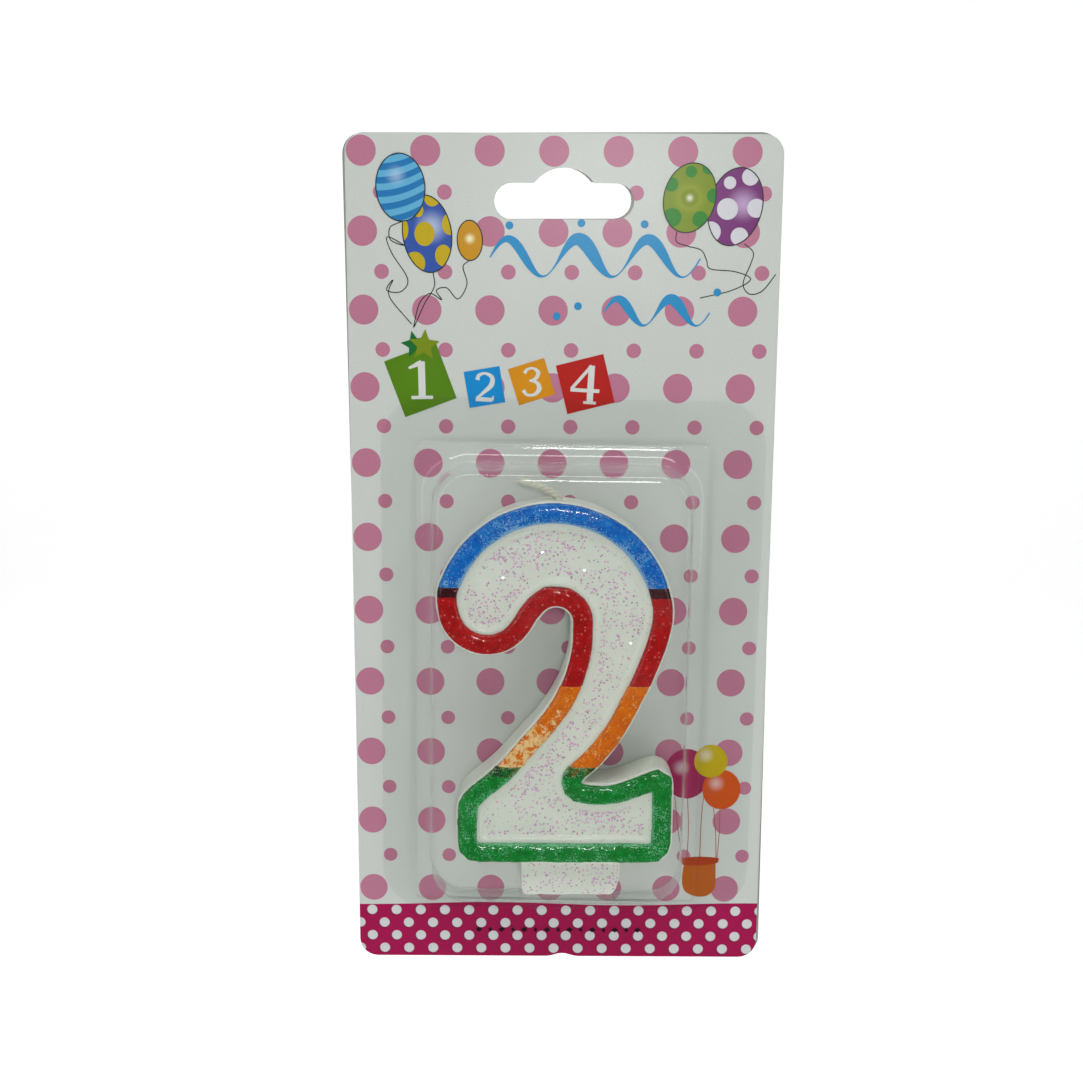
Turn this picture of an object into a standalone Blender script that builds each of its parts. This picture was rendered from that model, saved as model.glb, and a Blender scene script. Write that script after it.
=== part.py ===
"""Number-two birthday candle in its hang pack.

Two printed plies make the card, a clear thermoformed blister is sealed to the front of it, and the
wax candle stands loose inside: white body, wick, and a rim of coloured wax in six runs.

Sizes are millimetres on a drawing of the pack: x to the right and y up from the card's centre, h
forward from the card's front face. World +Z is up, the front faces -Y, and the origin is the top of
the hang slot.
"""

import math

import bmesh
import bpy
import numpy as np

MM = 0.001

# Card
CARD_WIDTH = 100.0
CARD_HEIGHT = 200.0
CARD_CORNER = 4.5
PLY = 0.4
GAP = 0.3  # air between pieces that rest on each other
REAR_PLY_TURN = math.radians(0.4)  # the rear ply is glued on a little askew
REAR_PLY_RISE = 0.25
NICK_HALF = 4.0  # the shallow nick in the bottom edge
NICK_RISE = 0.8

# Hang slot: a slot with round ends and a hump that centres it on a peg
SLOT_WIDTH = 32.0
SLOT_HEIGHT = 8.1
SLOT_MIDDLE = 85.05
HUMP_HALF = 6.8
HUMP_RISE = 3.4
SLOT_TOP = SLOT_MIDDLE + SLOT_HEIGHT / 2 + HUMP_RISE

# Blister: sizes on its own axes, whose origin is the middle of the flange's top edge
BLISTER_X = 2.8
BLISTER_TOP = 40.1
BLISTER_TURN = math.radians(-0.6)
SHEET = 0.3
FLANGE = (90.6, 127.1)
FLANGE_CORNER = 11.0
DOME_SHIFT = -2.4
PLATEAU = (69.8, 114.2)
PLATEAU_DROP = 10.4
PLATEAU_CORNER = 1.5
PLATEAU_RISE = 0.9
DOME_BASE = (68.4, 111.9)
DOME_BASE_DROP = 11.0
DOME_BASE_CORNER = 10.0
DOME_WALL = (59.9, 104.1)  # the dome's outline at the top of its wall
DOME_WALL_DROP = 15.8
DOME_WALL_CORNER = 8.7
DOME_SWEEP = 5.0  # height of the hollow curve from the plateau into the wall
SWEEP_SHARE = 0.9  # how much of the way in from base to wall that curve goes
DOME_HEIGHT = 14.0
DOME_FILLET = 2.4
CORNER_STEPS = 7

# Candle
CANDLE_BACK = 0.9
CANDLE_LEDGE = 11.0  # the front of the wax, which the rim stands on
CANDLE_CREST = 12.3
PANEL_FLOOR = 10.4
PANEL_INSET = 1.2  # from the rim's inner edge to the sunk panel
RIM_WIDTH = 4.8
MARGIN = 0.4  # white wax outside the rim
RIM_STEP = 1.5  # between points on the rim's middle line
BODY_STEP = 1.6  # between points on the line that the body is drawn from
BEND_CARE = 2.5  # extra length that line counts for each radian of turn, so that its bends get more points
BAND_HEIGHTS = {"blue": (-2.8, 20.0), "red": (-26.1, -2.8), "orange": (-45.8, -26.1), "green": (-75.0, -45.8)}
ARCH = (-11.0, 9.0, 4.0)  # left, right and rise of the rim's inner arch, which is red to its top
FOOT_TOP = -64.0
FOOT_BOTTOM = -79.2
FOOT_DEPTH = (1.5, 9.5)

SHARP_EDGE = math.radians(50.0)
FLAT_ANGLE = math.radians(0.2)  # faces that meet at less than this are made one

# Wick
WICK_RADIUS = 1.0
WICK_DEPTH = 6.0
WICK_CLEARANCE = 0.3
WICK_ROUTE = [(-0.5, -1.5), (-0.5, 8.0), (-0.5, 15.5), (-0.9, 17.4)]
WICK_ROUTE += [(-2.6, 18.8), (-5.0, 20.0), (-7.8, 21.0), (-10.4, 21.7)]

COLOURS = {
    "card_front": ((0.80, 0.82, 0.80), 0.45),
    "card_rear": ((0.62, 0.02, 0.16), 0.55),
    "clear_pet": ((0.93, 0.96, 0.95), 0.08),
    "white_wax": ((0.88, 0.86, 0.86), 0.5),
    "wick_cotton": ((0.80, 0.78, 0.72), 0.9),
    "blue": ((0.03, 0.20, 0.72), 0.35),
    "red": ((0.62, 0.02, 0.03), 0.35),
    "orange": ((0.85, 0.28, 0.03), 0.35),
    "green": ((0.02, 0.36, 0.12), 0.35),
}


def clear_scene():
    """Remove whatever the scene holds."""
    for thing in list(bpy.data.objects):
        bpy.data.objects.remove(thing, do_unlink=True)


def new_collection(name):
    """A collection linked to the scene."""
    made = bpy.data.collections.new(name)
    bpy.context.scene.collection.children.link(made)
    return made


def material(key, alpha=1.0):
    """A plain Principled material from the colour list."""
    colour, roughness = COLOURS[key]
    made = bpy.data.materials.new(key)
    made.use_nodes = True
    shader = made.node_tree.nodes["Principled BSDF"]
    shader.inputs["Base Color"].default_value = (*colour, 1.0)
    shader.inputs["Roughness"].default_value = roughness
    shader.inputs["Metallic"].default_value = 0.0
    shader.inputs["Alpha"].default_value = alpha
    return made


def axis_empty(name, parent, place, turn=0.0):
    """An empty at a place on the drawing, turned about the forward axis."""
    made = bpy.data.objects.new(name, None)
    parts.objects.link(made)
    made.parent = parent
    made.location = [value * MM for value in place]
    made.rotation_euler = (0.0, 0.0, turn)
    return made


# Outlines on the drawing


def arc(centre, radius, start, end, steps):
    """Points on a circular arc, in degrees, both ends included."""
    angles = np.radians(np.linspace(start, end, steps + 1))
    return [(centre[0] + radius * math.cos(a), centre[1] + radius * math.sin(a)) for a in angles]


def line(start, end, steps):
    """Points along a straight run, without its ends."""
    shares = np.linspace(0.0, 1.0, steps + 1)[1:-1]
    return [tuple(np.array(start) * (1 - s) + np.array(end) * s) for s in shares]


def rounded_rectangle(left, right, bottom, top, radius):
    """Anticlockwise rectangle with the same number of points at every corner."""
    corners = [
        ((right - radius, bottom + radius), 270.0),
        ((right - radius, top - radius), 0.0),
        ((left + radius, top - radius), 90.0),
        ((left + radius, bottom + radius), 180.0),
    ]
    return [p for centre, start in corners for p in arc(centre, radius, start, start + 90.0, CORNER_STEPS)]


def card_outline():
    """The card's edge, with the nick in the middle of its bottom."""
    half_width, half_height = CARD_WIDTH / 2, CARD_HEIGHT / 2
    edge = rounded_rectangle(-half_width, half_width, -half_height, half_height, CARD_CORNER)
    across = np.linspace(-NICK_HALF, NICK_HALF, 9)
    rise = NICK_RISE * np.cos(across / NICK_HALF * math.pi / 2) ** 2
    return edge + [(x + 1.0, y - half_height) for x, y in zip(across, rise)]


def slot_outline():
    """The hang slot: round ends, a flat bottom and the hump in its top edge, which is part of a circle."""
    radius = SLOT_HEIGHT / 2
    reach = SLOT_WIDTH / 2 - radius
    bow = (HUMP_HALF**2 + HUMP_RISE**2) / (2 * HUMP_RISE)
    half_angle = math.degrees(math.asin(HUMP_HALF / bow))
    hump = arc((0.0, SLOT_TOP - bow), bow, 90.0 - half_angle, 90.0 + half_angle, 14)
    right = arc((reach, SLOT_MIDDLE), radius, -90.0, 90.0, 10)
    left = arc((-reach, SLOT_MIDDLE), radius, 90.0, 270.0, 10)
    return right + hump + left


def smooth_loop(knots, spacing, care):
    """A closed Catmull-Rom curve through the knots, as points that crowd into the bends with care."""
    here = np.array(knots)
    before, after, beyond = (np.roll(here, shift, axis=0) for shift in (1, -1, -2))
    t = np.linspace(0.0, 1.0, 24, endpoint=False)[:, None, None]
    square = (2 * before - 5 * here + 4 * after - beyond) * t**2
    cube = (3 * here - before - 3 * after + beyond) * t**3
    fine = 0.5 * (2 * here + (after - before) * t + square + cube)
    fine = fine.transpose(1, 0, 2).reshape(-1, 2)
    closed = np.vstack([fine, fine[:1]])
    legs = np.diff(closed, axis=0)
    heading = legs[:, 0] + 1j * legs[:, 1]
    bend = np.abs(np.angle(np.roll(heading, -1) / heading))
    along = np.concatenate([[0.0], np.cumsum(np.abs(heading) + care * bend)])
    stops = np.linspace(0.0, along[-1], round(along[-1] / spacing), endpoint=False)
    return np.stack([np.interp(stops, along, closed[:, k]) for k in (0, 1)], axis=1)


def rim_path(spacing, care=0.0):
    """The middle of the painted rim, clockwise round the numeral from the tip of its hook."""
    knots = arc((-1.9, -11.0), 25.5, 165.0, 5.0, 16)
    knots += [(22.7, -14.3), (20.2, -21.8), (16.9, -29.0), (13.0, -36.6), (8.0, -43.4)]
    knots += arc((5.5, -49.7), 2.9, 140.0, 255.0, 3)
    knots += [(8.3, -52.9), (12.1, -52.8), (15.8, -51.8), (19.3, -50.4), (22.2, -49.2)]
    knots += arc((23.0, -50.3), 1.2, 80.0, 0.0, 2)
    knots += line((24.2, -50.3), (24.2, -65.0), 4)
    knots += arc((21.7, -65.0), 2.4, 0.0, -90.0, 3)
    knots += line((21.7, -67.4), (-19.7, -67.4), 9)
    knots += arc((-19.7, -65.0), 2.4, 270.0, 180.0, 3)
    knots += line((-22.1, -65.0), (-22.0, -56.4), 3)
    knots += [(-21.6, -55.0), (-19.0, -52.2), (-15.6, -49.4), (-12.1, -46.0), (-8.4, -41.6), (-4.8, -37.5)]
    knots += [(-1.5, -33.2), (1.2, -28.7), (3.4, -23.4), (4.8, -17.4)]
    knots += arc((-1.3, -11.2), 6.4, -8.0, 150.0, 7)
    knots += [(-7.9, -9.3)]
    knots += arc((-17.3, -7.4), 9.0, 330.0, 190.0, 7)
    return smooth_loop(knots, spacing, care)


def offset_loop(path, distance):
    """A clockwise loop moved outward, or inward where the distance is negative.

    Points that would fold back over the loop are dropped, and so are points that crowd together.
    """
    ahead = np.roll(path, -1, axis=0) - np.roll(path, 1, axis=0)
    left = np.stack([-ahead[:, 1], ahead[:, 0]], axis=1) / np.linalg.norm(ahead, axis=1)[:, None]
    moved = path + distance * left
    nearest = np.linalg.norm(moved[:, None] - path[None], axis=2).min(axis=1)
    kept = []
    for point in moved[nearest > abs(distance) - 0.05]:
        if not kept or np.linalg.norm(point - kept[-1]) > BODY_STEP / 3:
            kept.append(point)
    return kept


# Solids


def flat_solid(name, loops, low, high, parent, collection):
    """Closed outlines filled between two heights; a second loop is a hole in the first."""
    curve = bpy.data.curves.new(name, "CURVE")
    curve.dimensions = "2D"
    curve.fill_mode = "BOTH"
    curve.extrude = (high - low) / 2 * MM
    for loop in loops:
        spline = curve.splines.new("POLY")
        spline.points.add(len(loop) - 1)
        spline.use_cyclic_u = True
        for point, (x, y) in zip(spline.points, loop):
            point.co = (x * MM, y * MM, 0.0, 1.0)
    solid = bpy.data.objects.new(name, curve)
    collection.objects.link(solid)
    solid.parent = parent
    solid.location = (0.0, 0.0, (low + high) / 2 * MM)
    return solid


def tube(name, route, radius, parent, collection, closed=False, profile=None):
    """A round tube along a route of (x, y, h) points, or a profile swept along it."""
    curve = bpy.data.curves.new(name, "CURVE")
    curve.dimensions = "2D" if profile else "3D"
    curve.fill_mode = "NONE" if profile else "FULL"
    curve.use_fill_caps = not closed
    if profile:
        curve.bevel_mode = "OBJECT"
        curve.bevel_object = profile
    else:
        curve.bevel_depth = radius * MM
        curve.bevel_resolution = 2
    spline = curve.splines.new("POLY")
    spline.points.add(len(route) - 1)
    spline.use_cyclic_u = closed
    for point, (x, y, h) in zip(spline.points, route):
        point.co = (x * MM, y * MM, h * MM, 1.0)
    made = bpy.data.objects.new(name, curve)
    collection.objects.link(made)
    made.parent = parent
    return made


def to_mesh(shape):
    """Replace a curve object with a mesh object of the same name, place and shape."""
    bpy.context.view_layer.update()
    name = shape.name
    evaluated = shape.evaluated_get(bpy.context.evaluated_depsgraph_get())
    mesh = bpy.data.meshes.new_from_object(evaluated)
    shell = bmesh.new()
    shell.from_mesh(mesh)
    bmesh.ops.remove_doubles(shell, verts=shell.verts, dist=0.00001)
    bmesh.ops.dissolve_limit(shell, angle_limit=FLAT_ANGLE, verts=shell.verts, edges=shell.edges)
    bmesh.ops.recalc_face_normals(shell, faces=shell.faces)
    shell.to_mesh(mesh)
    shell.free()
    solid = bpy.data.objects.new(name, mesh)
    for collection in shape.users_collection:
        collection.objects.link(solid)
    solid.parent = shape.parent
    solid.location = shape.location
    solid.rotation_euler = shape.rotation_euler
    bpy.data.objects.remove(shape, do_unlink=True)
    solid.name = name
    bpy.context.view_layer.update()
    return solid


def boolean(solid, cutter, operation):
    """Cut, join or intersect with the EXACT solver."""
    cutter.hide_render = True
    cutter.display_type = "WIRE"
    step = solid.modifiers.new(operation.lower(), "BOOLEAN")
    step.solver = "EXACT"
    step.operation = operation
    step.object = cutter


def dress(solid, key, alpha=1.0):
    """Give a piece its material."""
    solid.data.materials.clear()
    solid.data.materials.append(material(key, alpha))
    return solid


# Sub-parts


def backing_ply(name, key, front, turn=0.0, rise=0.0):
    """One printed ply, punched with the hang slot."""
    ply = flat_solid(name, [card_outline(), slot_outline()], -front - PLY, -front, card_frame, parts)
    ply.rotation_euler = (0.0, 0.0, turn)
    ply.location.y += rise * MM
    return dress(to_mesh(ply), key)


def blister_rings():
    """The blister's front surface as rounded rectangles and their heights, from the flange inward."""

    def ring(size, drop, corner, height, shift=DOME_SHIFT):
        half = size[0] / 2
        return rounded_rectangle(shift - half, shift + half, -drop - size[1], -drop, corner), height

    flange_front = GAP + SHEET
    step_top = flange_front + PLATEAU_RISE
    rings = [
        ring(FLANGE, 0.0, FLANGE_CORNER, flange_front, shift=0.0),
        ring(PLATEAU, PLATEAU_DROP, PLATEAU_CORNER, flange_front),
        ring([side - 0.8 for side in PLATEAU], PLATEAU_DROP + 0.4, PLATEAU_CORNER, step_top),
    ]
    for turn in (0.0, 30.0, 60.0, 90.0):
        share = SWEEP_SHARE * math.sin(math.radians(turn))
        size = [base + share * (wall - base) for base, wall in zip(DOME_BASE, DOME_WALL)]
        drop = DOME_BASE_DROP + share * (DOME_WALL_DROP - DOME_BASE_DROP)
        corner = DOME_BASE_CORNER + share * (DOME_WALL_CORNER - DOME_BASE_CORNER)
        rings.append(ring(size, drop, corner, step_top + DOME_SWEEP * (1 - math.cos(math.radians(turn)))))
    for turn in (0.0, 30.0, 60.0, 90.0):
        inset = DOME_FILLET * (1 - math.cos(math.radians(turn)))
        height = DOME_HEIGHT - DOME_FILLET * (1 - math.sin(math.radians(turn)))
        size = [side - 2 * inset for side in DOME_WALL]
        rings.append(ring(size, DOME_WALL_DROP + inset, DOME_WALL_CORNER - inset, height))
    return rings


def blister_shell():
    """The clear blister: one open surface through the rings, thickened towards the card."""
    hinge_height = GAP + SHEET / 2
    shell = bmesh.new()
    loops = []
    for outline, height in blister_rings():
        loops.append([shell.verts.new((x * MM, y * MM, (height - hinge_height) * MM)) for x, y in outline])
    for outer, inner in zip(loops, loops[1:]):
        for i, corner in enumerate(outer):
            after = (i + 1) % len(outer)
            shell.faces.new((corner, outer[after], inner[after], inner[i]))
    shell.faces.new(loops[-1])
    mesh = bpy.data.meshes.new("blister_shell")
    shell.to_mesh(mesh)
    shell.free()
    mesh.shade_smooth()
    solid = bpy.data.objects.new("blister_shell", mesh)
    parts.objects.link(solid)
    solid.parent = blister_hinge
    thicken = solid.modifiers.new("sheet", "SOLIDIFY")
    thicken.thickness = SHEET * MM
    thicken.offset = -1.0
    thicken.use_even_offset = True
    return dress(solid, "clear_pet", alpha=0.2)


def candle_body(path, channel):
    """White wax: the numeral with its sunk panel, the foot below it and the wick's channel."""
    silhouette = offset_loop(path, RIM_WIDTH / 2 + MARGIN)
    body = flat_solid("candle_body", [silhouette], CANDLE_BACK, CANDLE_LEDGE, candle_frame, parts)
    body = to_mesh(body)
    sunk = offset_loop(path, -RIM_WIDTH / 2 - PANEL_INSET)
    panel = flat_solid("panel_cutter", [sunk], PANEL_FLOOR, DOME_HEIGHT, candle_frame, cutters)
    boolean(body, to_mesh(panel), "DIFFERENCE")
    outline = [(-9.3, FOOT_TOP), (-9.2, -77.4), (-8.8, -78.7), (-8.2, FOOT_BOTTOM)]
    outline += [(12.9, FOOT_BOTTOM), (13.6, -78.5), (14.7, -74.6), (14.9, FOOT_TOP)]
    foot = flat_solid("foot_joiner", [outline], *FOOT_DEPTH, candle_frame, cutters)
    boolean(body, to_mesh(foot), "UNION")
    boolean(body, channel, "DIFFERENCE")
    return dress(body, "white_wax")


def bead_profile():
    """Half an ellipse on a flat base: the section of the coloured wax."""
    base = CANDLE_LEDGE + GAP
    angles = np.radians(np.linspace(0.0, 180.0, 9))
    points = [(RIM_WIDTH / 2 * math.cos(a), base + (CANDLE_CREST - base) * math.sin(a)) for a in angles]
    curve = bpy.data.curves.new("bead_profile", "CURVE")
    spline = curve.splines.new("POLY")
    spline.points.add(len(points) - 1)
    spline.use_cyclic_u = True
    for point, (across, height) in zip(spline.points, points):
        point.co = (across * MM, height * MM, 0.0, 1.0)
    profile = bpy.data.objects.new("bead_profile", curve)
    profile.hide_render = True
    profile.display_type = "WIRE"
    cutters.objects.link(profile)
    return profile


def keep_run(solid, side):
    """Keep one of a cut ring's separate runs: the leftmost for side -1, the rightmost for side 1."""
    bpy.context.view_layer.update()
    evaluated = solid.evaluated_get(bpy.context.evaluated_depsgraph_get())
    mesh = bpy.data.meshes.new_from_object(evaluated)
    shell = bmesh.new()
    shell.from_mesh(mesh)
    waiting = set(shell.verts)
    runs = []
    while waiting:
        run, edge = set(), {waiting.pop()}
        while edge:
            run |= edge
            edge = {link.other_vert(vert) for vert in edge for link in vert.link_edges} & waiting
            waiting -= edge
        runs.append(run)
    wanted = max(runs, key=lambda run: side * sum(vert.co.x for vert in run) / len(run))
    bmesh.ops.delete(shell, geom=[vert for vert in shell.verts if vert not in wanted], context="VERTS")
    shell.to_mesh(mesh)
    shell.free()
    solid.modifiers.clear()
    solid.data = mesh


def band_window(colour):
    """The part of the drawing that one colour covers, with the gap to its neighbours."""
    bottom, top = BAND_HEIGHTS[colour]
    bottom, top = bottom + GAP / 2, top - GAP / 2
    reach = CARD_WIDTH / 2
    left, right, rise = ARCH
    window = [(-reach, bottom), (reach, bottom), (reach, top), (-reach, top)]
    if colour == "red":
        window[3:3] = [(right, top), (right, top + rise), (left, top + rise), (left, top)]
    if colour == "blue":
        window[1:1] = [(left, bottom), (left, bottom + rise), (right, bottom + rise), (right, bottom)]
    return window


def rim_run(name, colour, ring, side=0):
    """One run of coloured wax: the ring inside the colour's window, and only its left or right part."""
    run = bpy.data.objects.new(name, ring.data.copy())
    parts.objects.link(run)
    run.parent = ring.parent
    depth = (CANDLE_BACK, DOME_HEIGHT)
    window = flat_solid(name + "_window", [band_window(colour)], *depth, candle_frame, cutters)
    boolean(run, to_mesh(window), "INTERSECT")
    if side:
        keep_run(run, side)
    run.data.shade_smooth()
    run.data.set_sharp_from_angle(angle=SHARP_EDGE)
    return dress(run, colour)


def wick_route():
    """The wick's middle line: straight down its channel, then bent over to the left above the wax."""
    knots = np.array(WICK_ROUTE)
    ends = np.vstack([2 * knots[0] - knots[1], knots, 2 * knots[-1] - knots[-2]])
    route = []
    for before, here, after, beyond in zip(ends, ends[1:], ends[2:], ends[3:]):
        for t in (0.0, 0.25, 0.5, 0.75):
            square = (2 * before - 5 * here + 4 * after - beyond) * t**2
            cube = (3 * here - before - 3 * after + beyond) * t**3
            route.append(0.5 * (2 * here + (after - before) * t + square + cube))
    route.append(knots[-1])
    return [(x, y, WICK_DEPTH) for x, y in route]


def wick(route):
    """Braided cotton, waxed."""
    strand = to_mesh(tube("wick", route, WICK_RADIUS, candle_frame, parts))
    strand.data.shade_smooth()
    return dress(strand, "wick_cotton")


def wick_channel(route):
    """The cutter of the hole that the wick was cast into."""
    deeper = [(route[0][0], route[0][1] - WICK_CLEARANCE, WICK_DEPTH), *route]
    return to_mesh(tube("wick_channel", deeper, WICK_RADIUS + WICK_CLEARANCE, candle_frame, cutters))


clear_scene()
parts = new_collection("number_candle_pack")
cutters = new_collection("cutters")

card_frame = axis_empty("card_frame", None, (0.0, 0.0, -SLOT_TOP))
card_frame.rotation_euler = (math.pi / 2, 0.0, 0.0)
blister_hinge = axis_empty("blister_hinge", card_frame, (BLISTER_X, BLISTER_TOP, GAP + SHEET / 2), BLISTER_TURN)
candle_frame = axis_empty("candle_frame", card_frame, (0.0, 0.0, 0.0))

backing_ply("backing_card_front", "card_front", 0.0)
backing_ply("backing_card_rear", "card_rear", PLY + GAP, REAR_PLY_TURN, REAR_PLY_RISE)
blister_shell()

strand_route = wick_route()
candle_body(rim_path(BODY_STEP, BEND_CARE), wick_channel(strand_route))
wick(strand_route)

rim_line = [(x, y, 0.0) for x, y in rim_path(RIM_STEP)]
rim_ring = to_mesh(tube("rim_ring", rim_line, 0.0, candle_frame, cutters, closed=True, profile=bead_profile()))
rim_run("rim_blue", "blue", rim_ring)
for colour in ("red", "orange"):
    rim_run(f"rim_{colour}_left", colour, rim_ring, side=-1)
    rim_run(f"rim_{colour}_right", colour, rim_ring, side=1)
rim_run("rim_green", "green", rim_ring)
rim_ring.hide_render = True
rim_ring.display_type = "WIRE"
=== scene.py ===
"""Looks of a number birthday candle in its blister pack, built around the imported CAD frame."""
import math
import random

import bmesh
import bpy
import numpy as np
from mathutils import Matrix, Vector, noise
from mathutils.bvhtree import BVHTree


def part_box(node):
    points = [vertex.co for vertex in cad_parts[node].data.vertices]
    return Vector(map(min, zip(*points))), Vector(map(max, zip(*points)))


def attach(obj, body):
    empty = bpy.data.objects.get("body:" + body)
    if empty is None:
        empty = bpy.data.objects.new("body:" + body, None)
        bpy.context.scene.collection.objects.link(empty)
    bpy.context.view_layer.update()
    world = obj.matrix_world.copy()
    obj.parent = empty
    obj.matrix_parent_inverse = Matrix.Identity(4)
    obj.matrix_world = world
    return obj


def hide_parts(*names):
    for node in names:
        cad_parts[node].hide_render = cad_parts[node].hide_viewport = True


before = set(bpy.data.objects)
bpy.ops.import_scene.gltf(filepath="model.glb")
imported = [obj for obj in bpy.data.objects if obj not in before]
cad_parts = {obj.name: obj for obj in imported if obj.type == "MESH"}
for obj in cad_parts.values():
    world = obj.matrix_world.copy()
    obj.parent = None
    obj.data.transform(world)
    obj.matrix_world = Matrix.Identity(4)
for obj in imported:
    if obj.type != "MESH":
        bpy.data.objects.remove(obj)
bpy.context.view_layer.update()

MM = 0.001
VIEWPOINT = (-0.00475, -0.2716, -0.0439)  # where the camera stands, in metres
KEY_LAMP = (0.0, -0.45, 0.80)  # where the long overhead light hangs, in metres

# The card's own drawing coordinates: x right and y up from its middle, h forward of its printed face, in mm
card_low, card_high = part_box("backing_card_front")
CARD_MIDDLE = card_low.z / 2 + card_high.z / 2
CARD_FACE = card_low.y
rear_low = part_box("backing_card_rear")[0]


def place(x, y, h=0.0):
    """World position of a point given in the card's drawing coordinates."""
    return Vector((x * MM, CARD_FACE - h * MM, CARD_MIDDLE + y * MM))


# ---------------------------------------------------------------- helpers for shapes

def new_object(name, data):
    """An object with this mesh, lamp or camera, linked to the scene."""
    made = bpy.data.objects.new(name, data)
    bpy.context.scene.collection.objects.link(made)
    return made


def new_mesh(name, shell):
    """A mesh made from a bmesh, which is freed."""
    mesh = bpy.data.meshes.new(name)
    shell.to_mesh(mesh)
    shell.free()
    return mesh


def add_piece(name, mesh, body, materials, smooth=False, replaced=()):
    """A visible piece that rides on a body and takes the materials given to it."""
    piece = new_object(name, mesh)
    for material in materials:
        mesh.materials.append(material)
    if smooth:
        mesh.shade_smooth()
    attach(piece, body)
    if replaced:
        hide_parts(*replaced)
    return piece


def arc(centre, radius, start, end, steps):
    """Points on an arc, angles in degrees."""
    angles = np.radians(np.linspace(start, end, steps + 1))
    return [(centre[0] + radius * math.cos(a), centre[1] + radius * math.sin(a)) for a in angles]


def turned(point, centre, angle):
    """A point given from a centre, turned anticlockwise by an angle in degrees."""
    c, s = math.cos(math.radians(angle)), math.sin(math.radians(angle))
    return centre[0] + point[0] * c - point[1] * s, centre[1] + point[0] * s + point[1] * c


def ellipse(centre, half_width, half_height, turn=0.0, steps=64):
    """Closed outline of an ellipse turned anticlockwise by an angle in degrees."""
    angles = [2 * math.pi * i / steps for i in range(steps)]
    return [turned((half_width * math.cos(a), half_height * math.sin(a)), centre, turn) for a in angles]


def rounded_rectangle(left, right, bottom, top, radius, steps):
    """Anticlockwise rectangle with the same number of points at every corner."""
    corners = [
        ((right - radius, bottom + radius), 270.0),
        ((right - radius, top - radius), 0.0),
        ((left + radius, top - radius), 90.0),
        ((left + radius, bottom + radius), 180.0),
    ]
    return [p for centre, start in corners for p in arc(centre, radius, start, start + 90.0, steps)]


def around(angle, first, second):
    """The direction at an angle from the first axis towards the second."""
    return math.cos(angle) * first + math.sin(angle) * second


def face_forward(face):
    """Turns a face to the card's front."""
    face.normal_update()
    if face.normal.y > 0:
        face.normal_flip()


def smooth_line(knots, steps=8, closed=False):
    """Points on a smooth curve through the knots."""
    knots = [np.array(k, float) for k in knots]
    if closed:
        ring = [knots[-1], *knots, knots[0], knots[1]]
    else:
        ring = [2 * knots[0] - knots[1], *knots, 2 * knots[-1] - knots[-2]]
    points = []
    for before, here, after, beyond in zip(ring, ring[1:], ring[2:], ring[3:]):
        for t in np.arange(steps) / steps:
            square = (2 * before - 5 * here + 4 * after - beyond) * t**2
            cube = (3 * here - before - 3 * after + beyond) * t**3
            points.append(0.5 * (2 * here + (after - before) * t + square + cube))
    if not closed:
        points.append(knots[-1])
    return points


class Print:
    """Flat ink shapes just in front of the card's face, gathered into one mesh."""

    def __init__(self):
        self.shell = bmesh.new()

    def fill(self, outline, height, ink=0):
        """A filled outline; it may be concave."""
        corners = [self.shell.verts.new(place(x, y, height)) for x, y in outline]
        face = self.shell.faces.new(corners)
        face.material_index = ink
        face_forward(face)
        if len(corners) > 4:
            bmesh.ops.triangulate(self.shell, faces=[face])

    def stroke(self, points, widths, height, ink=0, closed=False):
        """A line whose width follows widths, one number or one for each point."""
        points = [np.array(p, float) for p in points]
        count = len(points)
        if np.isscalar(widths):
            widths = [widths] * count
        sides = []
        for i, point in enumerate(points):
            after = points[(i + 1) % count] if closed else points[min(i + 1, count - 1)]
            before = points[i - 1] if closed else points[max(i - 1, 0)]
            along = after - before
            along /= np.linalg.norm(along)
            across = np.array((-along[1], along[0])) * widths[i] / 2
            ends = (point + across, point - across)
            sides.append([self.shell.verts.new(place(*end, height)) for end in ends])
        pairs = list(zip(sides, sides[1:] + sides[:1]))
        for here, ahead in pairs if closed else pairs[:-1]:
            face = self.shell.faces.new((here[0], here[1], ahead[1], ahead[0]))
            face.material_index = ink
            face_forward(face)

    def finish(self, name, inks):
        """Makes the piece, with inks numbered in the order of this list."""
        add_piece(name, new_mesh(name, self.shell), "card", inks)


# ---------------------------------------------------------------- helpers for materials

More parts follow.
